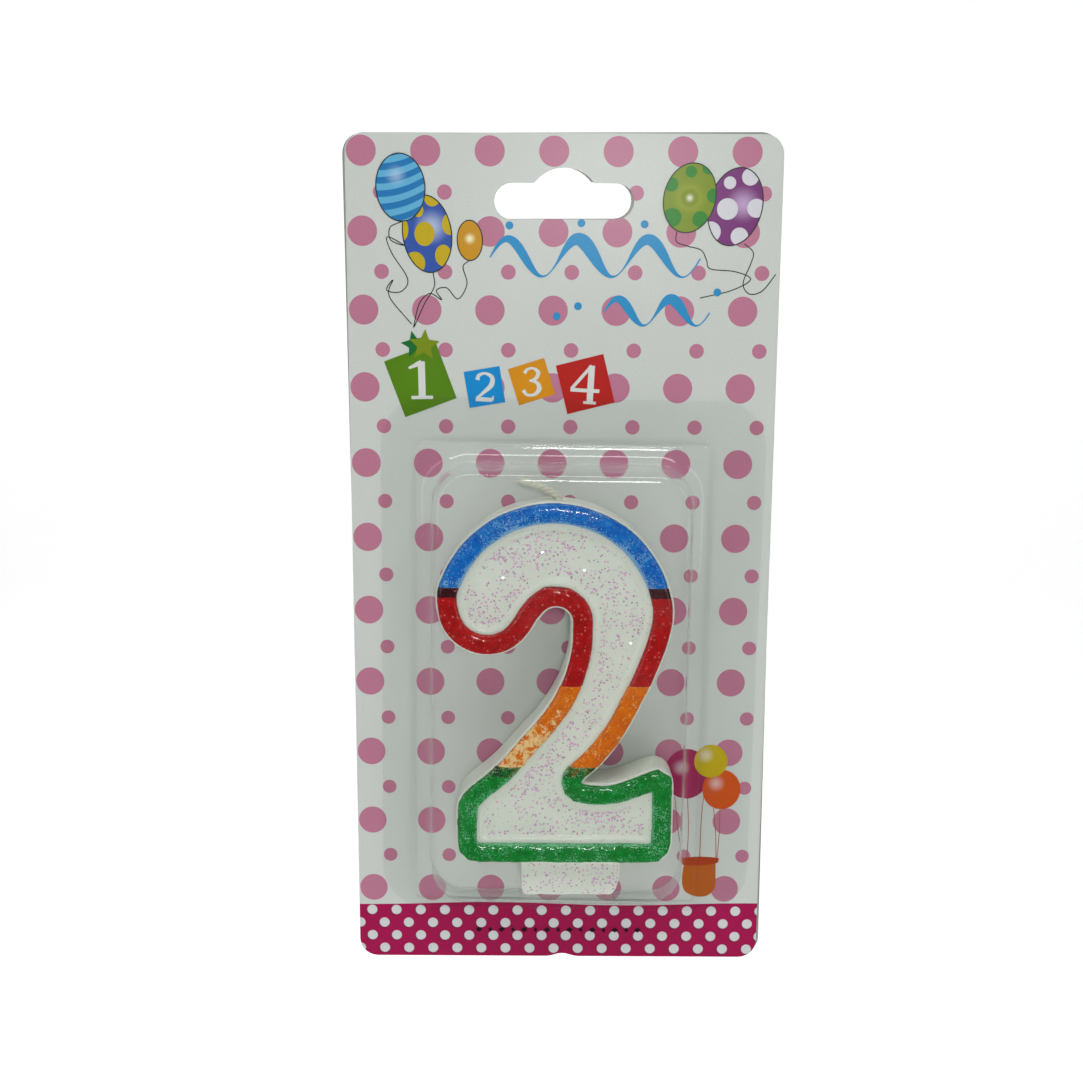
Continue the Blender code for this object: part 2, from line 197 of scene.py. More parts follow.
class Graph:
    """A material and short calls that add nodes to it. Lengths in the patterns are in mm."""

    def __init__(self, name):
        self.material = bpy.data.materials.new(name)
        self.material.use_nodes = True
        self.tree = self.material.node_tree
        self.shader = self.tree.nodes["Principled BSDF"]
        self.coordinates = self.node("TexCoord").outputs
        scaled = self.node("VectorMath")
        scaled.operation = "SCALE"
        scaled.inputs["Scale"].default_value = 1.0 / MM
        self.link(self.coordinates["Object"], scaled.inputs[0])
        self.position = scaled.outputs[0]
        self.x, self.y, self.z = self.node("SeparateXYZ", Vector=self.position).outputs

    def link(self, output, socket):
        self.tree.links.new(output, socket)

    def set(self, socket, value):
        """A socket takes a link, a colour of three parts or a fixed value."""
        if isinstance(value, bpy.types.NodeSocket):
            self.link(value, socket)
        elif socket.type == "RGBA" and len(value) == 3:
            socket.default_value = (*value, 1.0)
        else:
            socket.default_value = value

    def node(self, kind, **values):
        """A new shader node, its inputs set by name, with _ for a space."""
        made = self.tree.nodes.new("ShaderNode" + kind)
        for name, value in values.items():
            self.set(made.inputs[name.replace("_", " ")], value)
        return made

    def look(self, **values):
        """Inputs of the Principled shader by name, with _ for a space."""
        for name, value in values.items():
            self.set(self.shader.inputs[name.replace("_", " ")], value)
        return self.material

    def math(self, operation, a, b=0.0, c=0.0):
        node = self.node("Math")
        node.operation = operation
        for socket, value in zip(node.inputs, (a, b, c)):
            self.set(socket, value)
        return node.outputs[0]

    def add(self, a, b):
        return self.math("ADD", a, b)

    def times(self, a, b):
        return self.math("MULTIPLY", a, b)

    def length(self, u, v):
        return self.math("SQRT", self.add(self.times(u, u), self.times(v, v)))

    def ramp(self, value, low, high, low_value=0.0, high_value=1.0, kind="LINEAR"):
        """A ramp between two values, held at both ends."""
        node = self.node(
            "MapRange", Value=value, From_Min=low, From_Max=high, To_Min=low_value, To_Max=high_value)
        node.interpolation_type = kind
        return node.outputs["Result"]

    def less(self, value, limit, blur):
        """1 where value is under limit, 0 where it is over, with a soft edge."""
        return self.ramp(value, limit - blur / 2, limit + blur / 2, 1.0, 0.0, "SMOOTHSTEP")

    def distance(self, centre, half_width=1.0, half_height=1.0):
        """Distance of the card's x and y from a centre, as a share of the two half sizes."""
        u = self.math("DIVIDE", self.add(self.x, -centre[0]), half_width)
        v = self.math("DIVIDE", self.add(self.z, -(CARD_MIDDLE / MM + centre[1])), half_height)
        return self.length(u, v)

    def spot(self, centre, half_width, half_height=None, blur=0.12):
        """A mask of one round or oval spot on the card."""
        half_height = half_height or half_width
        return self.less(self.distance(centre, half_width, half_height), 1.0, blur / half_width)

    def lattice(self, start, pitch, radius, blur=0.12):
        """A mask of dots on a rectangular lattice given by one dot's centre and the pitches."""
        offsets = []
        level = CARD_MIDDLE / MM + start[1]
        for value, first, step in ((self.x, start[0], pitch[0]), (self.z, level, pitch[1])):
            cell = self.math("FRACT", self.add(self.math("DIVIDE", self.add(value, -first), step), 0.5))
            offsets.append(self.times(self.add(cell, -0.5), step))
        return self.less(self.length(*offsets), radius, blur)

    def noise(self, size, detail=2.0, rough=0.5, distortion=0.0):
        """Noise of about 0 to 1 whose blobs are about size mm across."""
        node = self.node(
            "TexNoise", Vector=self.position, Scale=1.0 / size, Detail=detail, Roughness=rough,
            Distortion=distortion)
        return node.outputs["Fac"]

    def cells(self, size):
        """Distance to the nearest cell's point, in mm, and two random numbers for each cell."""
        node = self.node("TexVoronoi", Vector=self.position, Scale=1.0 / size)
        split = self.node("SeparateColor", Color=node.outputs["Color"])
        return self.times(node.outputs["Distance"], size), split.outputs[0], split.outputs[1]

    def lines(self, pitch, angle):
        """Parallel lines across the card, from 0 to 1, at an angle in degrees."""
        c, s = math.cos(math.radians(angle)), math.sin(math.radians(angle))
        along = self.add(self.times(self.x, c), self.times(self.z, s))
        wave = self.math("SINE", self.times(along, 2 * math.pi / pitch))
        return self.ramp(wave, -1.0, 1.0)

    def mix(self, factor, a, b, blend="MIX"):
        """A colour between two others."""
        node = self.node("Mix")
        node.data_type = "RGBA"
        node.blend_type = blend
        for socket, value in zip((node.inputs["Factor"], *node.inputs[6:8]), (factor, a, b)):
            self.set(socket, value)
        return node.outputs[2]

    def attribute(self, name):
        """A number stored at the mesh's vertices."""
        node = self.node("Attribute")
        node.attribute_name = name
        return node.outputs["Fac"]

    def bump(self, height, depth, normal=None):
        """Bump from a height of 0 to 1 that stands for depth in mm."""
        node = self.node("Bump", Distance=depth * MM, Height=height)
        if normal:
            self.link(normal, node.inputs["Normal"])
        return node.outputs["Normal"]


def linear(red, green, blue):
    """A colour given on the usual 0 to 255 scale, as the linear values a shader takes."""
    parts = [c / 255 for c in (red, green, blue)]
    return tuple(c / 12.92 if c <= 0.04045 else ((c + 0.055) / 1.055) ** 2.4 for c in parts)


PAPER = linear(206, 211, 206)
PINK = linear(186, 117, 143)
BLACK_INK = linear(40, 52, 45)


def printed_finish(graph, colour, halftone=0.0):
    """Ink under a thin varnish on coated card: halftone lines, paper mottling, fibre grain."""
    if halftone:
        screen = graph.times(graph.lines(0.42, 58.0), graph.lines(0.42, -32.0))
        colour = graph.mix(graph.times(screen, halftone), colour, PAPER)
    mottle = graph.noise(0.5, detail=4.0, rough=0.7)
    colour = graph.mix(graph.ramp(mottle, 0.35, 0.7, 0.0, 0.10), colour, (0.30, 0.34, 0.30), "MULTIPLY")
    warp = graph.bump(graph.noise(38.0, detail=1.0), 0.9)
    grain = graph.bump(graph.noise(0.22, detail=3.0, rough=0.7), 0.012, warp)
    graph.look(Base_Color=colour, Roughness=graph.ramp(mottle, 0.3, 0.8, 0.42, 0.58), Normal=grain)
    graph.look(Specular_IOR_Level=0.12, Coat_Weight=0.22, Coat_Roughness=0.22, Coat_IOR=1.45)
    return graph.material


# ---------------------------------------------------------------- the two card plies

BIG_DOT = ((-46.3, 96.0), (14.65, 17.77), 3.42)  # one dot's centre, the pitches, the radius
SMALL_DOT = ((-42.0, 86.9), (14.63, 17.77), 1.7)
BAND_TOP = -85.9
BAND_ROW = -87.7
BAND_DOT_PITCH = 6.09
BAND_DOT = 1.25


def face_mask(graph, towards):
    """1 on the ply's flat face whose normal has this sign along Y."""
    along = graph.node("SeparateXYZ", Vector=graph.coordinates["Normal"]).outputs[1]
    return graph.math("GREATER_THAN", graph.times(along, towards), 0.7)


def magenta_dots(graph, first_row, spacing):
    """Magenta with staggered rows of white dots, each with a soft shadow to its lower left."""
    colour = graph.mix(graph.noise(30.0), linear(158, 0, 68), linear(174, 8, 84))
    masks = []
    shades = []
    for i in range(2):
        start = (1.9 - i * BAND_DOT_PITCH / 2, first_row - i * spacing)
        pitch = (BAND_DOT_PITCH, 2 * spacing)
        shades.append(graph.lattice((start[0] - 0.25, start[1] - 0.3), pitch, BAND_DOT * 1.06, blur=0.5))
        masks.append(graph.lattice(start, pitch, BAND_DOT))
    shade = graph.math("MAXIMUM", *shades)
    dots = graph.math("MAXIMUM", *masks)
    colour = graph.mix(graph.times(shade, 0.45), colour, linear(70, 40, 60))
    return graph.mix(dots, colour, linear(212, 214, 214))


def card_print():
    """The front ply: pink dots of two sizes on white, and the magenta band at the foot."""
    graph = Graph("printed_card")
    dots = graph.math("MAXIMUM", graph.lattice(*BIG_DOT), graph.lattice(*SMALL_DOT))
    screen = graph.times(graph.lines(0.55, 60.0), 0.16)
    pink = graph.mix(screen, PINK, linear(214, 160, 182))
    cloud = graph.mix(graph.noise(60.0, detail=3.0), linear(198, 205, 198), linear(212, 216, 212))
    colour = graph.mix(dots, cloud, pink)
    wave = graph.times(graph.math("SINE", graph.times(graph.x, 2 * math.pi / 64)), 0.35)
    level = graph.add(graph.add(graph.z, -CARD_MIDDLE / MM), wave)
    band = graph.less(level, BAND_TOP, 0.12)
    colour = graph.mix(band, colour, magenta_dots(graph, BAND_ROW, 3.4))
    colour = graph.mix(face_mask(graph, -1), linear(190, 192, 184), colour)
    return printed_finish(graph, colour)


def rear_print():
    """The rear ply: bare grey board towards the front, magenta with dots on its back and edges."""
    graph = Graph("printed_card_back")
    back = magenta_dots(graph, 0.0, 3.45)
    board = graph.mix(graph.noise(1.2, detail=4.0), linear(150, 156, 146), linear(176, 180, 170))
    edge = linear(150, 50, 85)
    colour = graph.mix(face_mask(graph, -1), graph.mix(face_mask(graph, 1), edge, back), board)
    return printed_finish(graph, colour)


# ---------------------------------------------------------------- printed pictures

OUTLINE_INK = 0.26  # widths of the drawn lines
STRING_INK = 0.24
INK_STEP = 0.03  # each shape of a picture stands this much in front of the one before it


def ink(name, colour, halftone=0.03, shade=None):
    """A plain printed ink; shade=(centre, reach, colour) fades to another colour around a point."""
    graph = Graph(name)
    if shade:
        centre, reach, light = shade
        colour = graph.mix(graph.less(graph.distance(centre), reach / 2, reach), colour, light)
    return printed_finish(graph, colour, halftone)


def spotted_ink(name, ground, spots, spot_colour, shade, ring=None):
    """A balloon's ink: spots on a ground that lightens around a highlight."""
    graph = Graph(name)
    centre, reach, light = shade
    colour = graph.mix(graph.less(graph.distance(centre), reach / 2, reach), ground, light)
    for spot in spots:
        colour = graph.mix(graph.spot(*spot), colour, spot_colour)
    if ring:
        colour = graph.mix(graph.spot(ring[0], ring[1], blur=0.6), colour, ring[2])
        colour = graph.mix(graph.less(graph.distance(ring[0]), 0.6, 1.2), colour, linear(225, 230, 200))
    return printed_finish(graph, colour, 0.03)


def striped_ink(name, dark, light, centre, pitch):
    """Curved diagonal stripes with a soft highlight."""
    graph = Graph(name)
    across = graph.add(graph.x, -centre[0])
    up = graph.add(graph.z, -(CARD_MIDDLE / MM + centre[1]))
    bow = graph.add(graph.times(across, -0.28), graph.times(graph.times(across, across), -0.028))
    phase = graph.times(graph.add(up, bow), 2 * math.pi / pitch)
    stripe = graph.less(graph.math("SINE", phase), 0.0, 0.25)
    colour = graph.mix(stripe, light, dark)
    glow = graph.less(graph.distance((centre[0] - 1.0, centre[1] + 2.6)), 1.3, 3.4)
    colour = graph.mix(graph.times(glow, 0.6), colour, linear(190, 215, 235))
    return printed_finish(graph, colour, 0.03)


def draw_balloons(art, balloons, line_ink=None):
    """Balloons given by centre, half width, half height, turn and ink, each over the one before."""
    for level, (centre, half_width, half_height, turn, number) in enumerate(balloons):
        outline = ellipse(centre, half_width, half_height, turn)
        height = INK_STEP * (level + 1)
        art.fill(outline, height, number)
        if line_ink is not None:
            art.stroke(outline, OUTLINE_INK, height + INK_STEP / 2, line_ink, closed=True)


def draw_strings(art, strings, width, rise, line_ink):
    """Thin curves through lists of points; each lies a little over the one before."""
    for number, knots in enumerate(strings):
        art.stroke(smooth_line(knots), width, 0.02 + rise * number, line_ink)


def left_balloons():
    """Three balloons with strings that run down to a star."""
    royal_centre = (-31.4, 77.6)
    offsets = [(-0.6, 0.0, 2.3, 2.7), (1.2, 8.0, 1.8, 1.9), (-2.0, 5.2, 1.2, 1.5), (-5.8, 1.0, 1.5, 2.6)]
    offsets += [(5.2, 2.2, 1.8, 2.4), (3.7, -4.8, 1.9, 2.4), (-2.9, -6.6, 2.4, 2.6)]
    spots = [((royal_centre[0] + x, royal_centre[1] + y), a, b) for x, y, a, b in offsets]
    glow = ((royal_centre[0] + 1.0, royal_centre[1] + 1.6), 4.6, linear(175, 190, 220))
    inks = [
        striped_ink("ink_striped_balloon", linear(28, 118, 182), linear(96, 176, 214), (-37.4, 87.9), 2.95),
        spotted_ink("ink_spotted_balloon", linear(48, 84, 168), spots, linear(196, 170, 20), glow),
        ink("ink_yellow_balloon", linear(202, 146, 16), shade=((-21.6, 76.6), 1.6, linear(250, 240, 190))),
        ink("ink_line", BLACK_INK, halftone=0.0),
    ]
    art = Print()
    yellow = ((-21.6, 76.2), 2.9, 4.5, 2.0, 2)
    spotted = (royal_centre, 5.6, 8.7, 8.0, 1)
    striped = ((-37.4, 87.9), 5.6, 7.5, 4.0, 0)
    draw_balloons(art, (yellow, spotted, striped), 3)
    strings = [
        [(-37.3, 80.3), (-39.9, 79.0), (-39.8, 76.2), (-36.7, 75.0), (-40.6, 76.9), (-39.6, 73.3),
         (-36.0, 67.5), (-37.6, 64.6), (-40.9, 64.9), (-39.4, 67.2), (-40.3, 63.5), (-35.2, 57.2)],
        [(-30.1, 69.0), (-29.9, 65.7), (-32.2, 61.8), (-34.6, 56.6)],
        [(-21.9, 71.6), (-23.2, 70.2), (-22.3, 66.4), (-24.4, 63.0), (-27.0, 65.5), (-29.4, 64.9),
         (-28.2, 62.8), (-30.9, 64.2), (-33.4, 61.8), (-34.8, 56.4)],
    ]
    draw_strings(art, strings, STRING_INK, 0.004, 3)
    art.finish("print_left_balloons", inks)


def right_balloons():
    """A green and a purple balloon with loose strings."""
    green_spots = [((28.9, 91.7), 1.3), ((32.9, 92.6), 1.5), ((24.4, 88.9), 1.6),
                   ((34.2, 86.4), 1.6), ((24.8, 81.6), 2.1), ((31.2, 81.2), 1.8)]
    purple_spots = [((37.8, 89.3), 1.4), ((42.4, 90.6), 1.9), ((37.4, 83.5), 2.4),
                    ((44.0, 83.7), 2.1), ((33.7, 78.4), 2.3), ((40.3, 77.4), 2.0)]
    centre = (28.7, 85.9)
    inks = [
        spotted_ink("ink_green_balloon", linear(124, 146, 16), green_spots, linear(40, 132, 34),
                    (centre, 4.6, linear(158, 168, 40)), (centre, 2.1, linear(128, 146, 14))),
        spotted_ink("ink_purple_balloon", linear(120, 48, 118), purple_spots, linear(214, 214, 220),
                    ((41.0, 84.6), 4.6, linear(190, 160, 200))),
        ink("ink_line_right", BLACK_INK, halftone=0.0),
    ]
    art = Print()
    draw_balloons(art, (((39.2, 84.0), 6.1, 8.8, -14.0, 1), (centre, 5.9, 7.8, -14.0, 0)), 2)
    strings = [
        [(25.9, 78.4), (25.9, 76.2), (28.4, 75.2), (31.6, 74.3), (32.9, 72.1), (33.9, 70.1), (39.6, 69.5),
         (43.2, 67.8), (39.0, 65.3), (31.6, 63.5)],
        [(41.5, 75.8), (43.6, 73.9), (43.2, 71.5), (41.5, 66.9), (43.0, 64.5), (46.0, 65.2), (49.0, 69.0)],
    ]
    draw_strings(art, strings, STRING_INK, 0.004, 2)
    art.finish("print_right_balloons", inks)


STREAMER_THIN = 0.25


def streamers():
    """Two plain blue party streamers and confetti, thick and thin like a curling ribbon."""
    art = Print()
    # left end, right end, middle height, rise, turns, greatest width
    ribbons = ((-17.0, 31.5, 72.4, 4.2, 3.0, 3.2), (9.5, 34.0, 60.2, 3.0, 2.0, 2.7))
    for left, right, middle, rise, turns, broad in ribbons:
        points = []
        widths = []
        for t in np.linspace(0.0, 1.0, 181):
            phase = 2 * math.pi * turns * t
            fade = max(0.0, math.sin(math.pi * t)) ** 0.5
            points.append((left + (right - left) * t, middle + rise * math.sin(phase)))
            swell = fade * (0.5 - 0.5 * math.cos(phase + 0.9))
            widths.append(STREAMER_THIN + (broad - STREAMER_THIN) * swell)
        art.stroke(points, widths, 0.05)
    for x, y in ((-12.5, 79.6), (4.0, 80.2), (18.5, 80.0), (3.4, 61.5), (-1.5, 59.2), (35.6, 64.8)):
        art.fill(ellipse((x, y), 0.9, 0.9, steps=24), 0.05)
    art.finish("print_streamers", [ink("ink_title_blue", linear(24, 142, 198), halftone=0.05)])


# Strokes of each numeral: points on a square of side 1 about its middle, and the line's width at each
NUMERALS = {
    "1": [([(-0.24, 0.27), (-0.05, 0.36), (0.03, 0.42)], (0.05, 0.10, 0.07)),
          ([(0.03, 0.42), (0.03, -0.38)], (0.15, 0.15)),
          ([(-0.20, -0.40), (0.26, -0.40)], (0.07, 0.07))],
    "2": [([(-0.22, 0.20), (-0.18, 0.33), (0.0, 0.40), (0.20, 0.30), (0.20, 0.08), (0.0, -0.14),
            (-0.22, -0.34)],
           (0.12, 0.10, 0.07, 0.12, 0.15, 0.10, 0.06)),
          ([(-0.24, -0.36), (0.24, -0.36)], (0.12, 0.12)),
          ([(0.25, -0.38), (0.27, -0.24)], (0.07, 0.04))],
    "3": [([(-0.22, 0.24), (-0.14, 0.36), (0.04, 0.40), (0.19, 0.28), (0.12, 0.10), (-0.06, 0.03)],
           (0.11, 0.08, 0.07, 0.13, 0.10, 0.05)),
          ([(-0.06, 0.03), (0.16, -0.02), (0.24, -0.20), (0.10, -0.38), (-0.12, -0.39), (-0.24, -0.26)],
           (0.05, 0.10, 0.15, 0.09, 0.08, 0.12))],
    "4": [([(0.12, 0.42), (0.12, -0.40)], (0.14, 0.14)),
          ([(0.12, 0.42), (-0.30, -0.12)], (0.07, 0.07)),
          ([(-0.32, -0.14), (0.32, -0.14)], (0.08, 0.08)),
          ([(-0.02, -0.41), (0.26, -0.41)], (0.06, 0.06))],
}


SQUARE = ((-0.5, -0.5), (0.5, -0.5), (0.5, 0.5), (-0.5, 0.5))


def number_tiles():
    """Four tilted square tiles with white numerals, and a folded star above the first."""
    tiles = [
        # numeral, centre, tile size, tile's turn, numeral's size, numeral's turn, colour
        ("1", (-33.3, 44.4), (12.9, 13.8), 20.5, (11.0, 10.2), 1.0, linear(82, 130, 0)),
        ("2", (-18.3, 42.8), (8.5, 8.5), 9.5, (8.0, 8.0), -3.0, linear(0, 136, 204)),
        ("3", (-7.3, 44.1), (8.9, 8.8), 17.5, (7.8, 7.8), -2.0, linear(212, 140, 0)),
        ("4", (5.3, 43.6), (11.4, 11.6), 14.0, (10.6, 10.4), -3.0, linear(180, 18, 8)),
    ]
    inks = []
    for numeral, centre, *_, colour in tiles:
        glow = (centre, 9.0, tuple(c * 1.08 for c in colour))
        inks.append(ink("ink_tile_" + numeral, colour, shade=glow))
    inks += [ink("ink_numeral", linear(216, 220, 214), halftone=0.0), ink("ink_star", linear(120, 142, 14)),
             ink("ink_star_fold", linear(10, 108, 44))]
    art = Print()
    for number, (numeral, centre, size, tilt, numeral_size, numeral_tilt, _) in enumerate(tiles):
        corners = [(size[0] * u, size[1] * v) for u, v in SQUARE]
        art.fill([turned(corner, centre, tilt) for corner in corners], 0.04, number)
        for layer, (knots, widths) in enumerate(NUMERALS[numeral]):
            steps = 8 if len(knots) > 2 else 1
            spots = smooth_line([(u * numeral_size[0], v * numeral_size[1]) for u, v in knots], steps)
            points = [turned(spot, centre, numeral_tilt) for spot in spots]
            spread = np.interp(np.linspace(0, len(knots) - 1, len(points)), range(len(knots)), widths)
            art.stroke(points, [w * numeral_size[0] for w in spread], 0.06 + 0.004 * layer, 4)
    # centre, reach, turn, ink and height of the star's fold and of the star
    stars = (((-34.6, 52.6), 3.2, 12.0, 6, 0.075), ((-32.3, 52.4), 3.7, -4.0, 5, 0.09))
    for centre, reach, first, number, height in stars:
        outline = []
        for i in range(10):
            radius = reach if i % 2 == 0 else reach * 0.46
            outline.append(turned((0.0, radius), centre, first + 36 * i))
        art.fill(outline, height, number)
    art.finish("print_number_tiles", inks)


def basket_balloons():
    """Three plain balloons over a small basket."""
    balloons = [
        ((31.4, -51.6), 5.6, 6.4, linear(160, 30, 84)),
        ((40.1, -55.6), 4.7, 5.1, linear(208, 82, 0)),
        ((37.3, -48.3), 4.1, 4.2, linear(196, 172, 0)),
    ]
    art = Print()
    inks = []
    for number, (centre, _, _, colour) in enumerate(balloons):
        glow = ((centre[0] - 1.4, centre[1] + 1.6), 2.6, tuple(c + 0.5 * (0.8 - c) for c in colour))
        inks.append(ink(f"ink_small_balloon_{number}", colour, shade=glow))
    inks.append(ink("ink_line_basket", linear(168, 88, 60), halftone=0.0))
    inks.append(ink("ink_basket", linear(186, 92, 0)))
    inks.append(ink("ink_basket_band", linear(176, 58, 0)))
    draw_balloons(art, [(*balloon[:3], 0.0, number) for number, balloon in enumerate(balloons)])
    strings = [
        [(28.6, -57.4), (29.6, -66.0), (31.0, -73.9)],
        [(31.8, -58.0), (32.2, -66.0), (32.0, -73.9)],
        [(38.3, -60.4), (39.0, -67.0), (39.3, -73.9)],
        [(39.9, -60.6), (39.9, -67.0), (39.5, -73.9)],
        [(36.4, -52.3), (35.4, -62.0), (35.2, -73.9)],
    ]
    draw_strings(art, strings, 0.18, 0.002, 3)
    sides = [(31.4, -74.4), (30.9, -79.0), (31.6, -82.2), (34.3, -83.7), (37.3, -83.5), (39.2, -81.4),
             (39.3, -78.0), (39.2, -74.4)]
    art.fill(smooth_line(sides, steps=6), 0.03, 4)
    rim = [(31.0, -73.6), (35.3, -73.2), (39.6, -73.5), (39.9, -74.1), (39.3, -74.9), (35.3, -75.5),
           (31.3, -75.4), (30.8, -74.6)]
    art.fill(smooth_line(rim, steps=4, closed=True), 0.06, 5)
    art.finish("print_basket", inks)


def band_ornament():
    """A row of small dark diamonds and bars on the magenta band."""
    art = Print()
    for i in range(15):
        x = -20.0 + 40.0 * i / 14
        half = 0.55 if i % 2 else 0.9
        art.fill([(x - half, -92.9), (x, -93.6), (x + half, -92.9), (x, -92.2)], 0.04)
    art.finish("print_band_ornament", [ink("ink_dark_ornament", linear(48, 14, 30), halftone=0.0)])


# ---------------------------------------------------------------- blister

BLISTER_X = 2.8
BLISTER_TOP = 40.1
BLISTER_TURN = -0.6  # degrees
SHEET = 0.3
GAP = 0.3
# Rings of the film: width, length, drop below the flange's top, corner radius
FLANGE = (90.6, 127.1, 0.0, 11.0)
FLANGE_INNER = (84.0, 123.0, 3.0, 9.0)
PLATEAU = (69.8, 114.2, 10.4, 1.5)
DOME_BASE = (68.4, 111.9, 11.0, 10.0)
DOME_WALL = (59.9, 104.1, 15.8, 8.7)
CROWN_RINGS = ((45.0, 89.0, 23.4, 4.0), (20.0, 62.0, 35.8, 3.0))
DOME_SHIFT = -2.4
FLANGE_INNER_SHIFT = -0.8
PLATEAU_RISE = 0.9
PLATEAU_INSET = 0.4
DOME_SWEEP = 5.0
SWEEP_SHARE = 0.9
DOME_HEIGHT = 14.0
DOME_FILLET = 2.4
CORNER_STEPS = 14


def clear_plastic():
    """Thin clear PET: see-through, glossy by Fresnel on its outer side, with a little milky haze."""
    graph = Graph("clear_pet_film")
    ripple = graph.bump(graph.noise(9.0, detail=2.0), 0.10)
    ripple = graph.bump(graph.noise(0.6, detail=2.0), 0.003, ripple)
    clear = graph.node("BsdfTransparent", Color=(0.995, 0.998, 0.996))
    gloss = graph.node("BsdfGlossy", Roughness=0.06, Normal=ripple)
    edge = graph.node("Fresnel", IOR=1.5, Normal=ripple)
    outer = graph.math("SUBTRACT", 1.0, graph.node("NewGeometry").outputs["Backfacing"])
    slant = graph.node("LayerWeight", Blend=0.5)
    edge_on = graph.times(graph.math("POWER", slant.outputs["Facing"], 3.0), 0.22)
    haze = graph.add(graph.ramp(graph.noise(14.0, detail=4.0, rough=0.6), 0.5, 0.8, 0.0, 0.014), edge_on)
    graph.look(Base_Color=(0.86, 0.90, 0.89), Roughness=0.2, IOR=1.57, Normal=ripple)
    surface = clear
    for share, cover in ((graph.times(edge.outputs[0], outer), gloss), (haze, graph.shader)):
        blend = graph.node("MixShader", Fac=share)
        graph.link(surface.outputs[0], blend.inputs[1])
        graph.link(cover.outputs[0], blend.inputs[2])
        surface = blend
    graph.link(surface.outputs[0], graph.tree.nodes["Material Output"].inputs["Surface"])
    return graph.material


def quarter_turn(steps):
    """Cosine and sine at even steps of a quarter turn."""
    return [(math.cos(angle), math.sin(angle)) for angle in np.radians(np.linspace(0.0, 90.0, steps))]


def blister_rings():
    """The film's front surface as rounded rectangles and their heights, from the flange inward."""

    def ring(size, height, inset=0.0, shift=DOME_SHIFT):
        width, length, drop, corner = size
        half = width / 2 - inset
        outline = rounded_rectangle(
            shift - half, shift + half, inset - drop - length, -drop - inset, corner, CORNER_STEPS)
        return outline, height

    front = GAP + SHEET
    rings = [ring(FLANGE, front, shift=0.0), ring(FLANGE_INNER, front, shift=FLANGE_INNER_SHIFT)]
    for c, s in quarter_turn(4):
        rings.append(ring(PLATEAU, front + PLATEAU_RISE * s, PLATEAU_INSET * (1 - c)))
    for c, s in quarter_turn(10):
        size = [base + SWEEP_SHARE * s * (wall - base) for base, wall in zip(DOME_BASE, DOME_WALL)]
        rings.append(ring(size, front + PLATEAU_RISE + DOME_SWEEP * (1 - c)))
    for c, s in quarter_turn(8):
        inset = DOME_FILLET * (1 - c)
        size = (*DOME_WALL[:3], DOME_WALL[3] - inset)
        rings.append(ring(size, DOME_HEIGHT - DOME_FILLET * (1 - s), inset))
    return rings + [ring(size, DOME_HEIGHT) for size in CROWN_RINGS]


def blister_film():
    """The formed clear film, thickened towards the card and sealed to it along the flange."""
    shell = bmesh.new()
    loops = []
    for outline, height in blister_rings():
        corners = [turned(corner, (BLISTER_X, BLISTER_TOP), BLISTER_TURN) for corner in outline]
        loops.append([shell.verts.new(place(x, y, height)) for x, y in corners])
    for outer, inner in zip(loops, loops[1:]):
        for i, corner in enumerate(outer):
            after = (i + 1) % len(outer)
            shell.faces.new((corner, outer[after], inner[after], inner[i]))
    shell.faces.new(loops[-1])
    front = new_object("film_front", new_mesh("film_front", shell))
    thicken = front.modifiers.new("sheet", "SOLIDIFY")
    thicken.thickness = SHEET * MM
    thicken.offset = -1.0
    thicken.use_even_offset = True
    film = evaluated_copy(front, "blister_film")
    film.shade_smooth()
    film.set_sharp_from_angle(angle=math.radians(48.0))
    looks = [clear_plastic()]
    return add_piece("blister_film", film, "blister", looks, replaced=("blister_shell",))


# ---------------------------------------------------------------- candle

LEDGE = 11.0  # height of the white ledge that the beads stand on
RIM_FOOT = 10.75  # height of the beads' underside, which lies in the wax
SEAM_REACH = 0.3  # points this close to a border between colours are moved across it
SEAM_SHIFT = 0.25


def welded(node):
    """A node's points and faces with the points along its sharp edges made one again."""
    shell = bmesh.new()
    shell.from_mesh(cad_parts[node].data)
    bmesh.ops.remove_doubles(shell, verts=shell.verts, dist=0.001 * MM)
    shell.verts.index_update()
    points = [vert.co.copy() for vert in shell.verts]
    faces = [[vert.index for vert in face.verts] for face in shell.faces]
    shell.free()
    return points, faces


def evaluated_copy(shape, name):
    """The mesh of a shape with its modifiers applied; the shape itself is removed."""
    evaluated = shape.evaluated_get(bpy.context.evaluated_depsgraph_get())
    result = bpy.data.meshes.new_from_object(evaluated)
    result.name = name
    source = shape.data
    bpy.data.objects.remove(shape)
    bpy.data.meshes.remove(source)
    return result


def remeshed(name, points, faces, voxel, rounds):
    """A fine even mesh of a closed shape, with its edges rounded by smoothing."""
    mesh = bpy.data.meshes.new(name)
    mesh.from_pydata(points, [], faces)
    shape = new_object(name + "_cage", mesh)
    fine = shape.modifiers.new("fine", "REMESH")
    fine.mode = "VOXEL"
    fine.voxel_size = voxel * MM
    soften = shape.modifiers.new("soften", "SMOOTH")
    soften.factor = 0.5
    soften.iterations = rounds
    return evaluated_copy(shape, name)


def roughened(mesh, waves):
    """Moves each vertex along its normal by noise; waves lists (size in mm, depth in mm)."""
    mesh.update()
    for vertex, normal in zip(mesh.vertices, [v.normal.copy() for v in mesh.vertices]):
        shift = sum(depth * noise.noise(vertex.co / (size * MM)) for size, depth in waves)
        vertex.co += normal * shift * MM


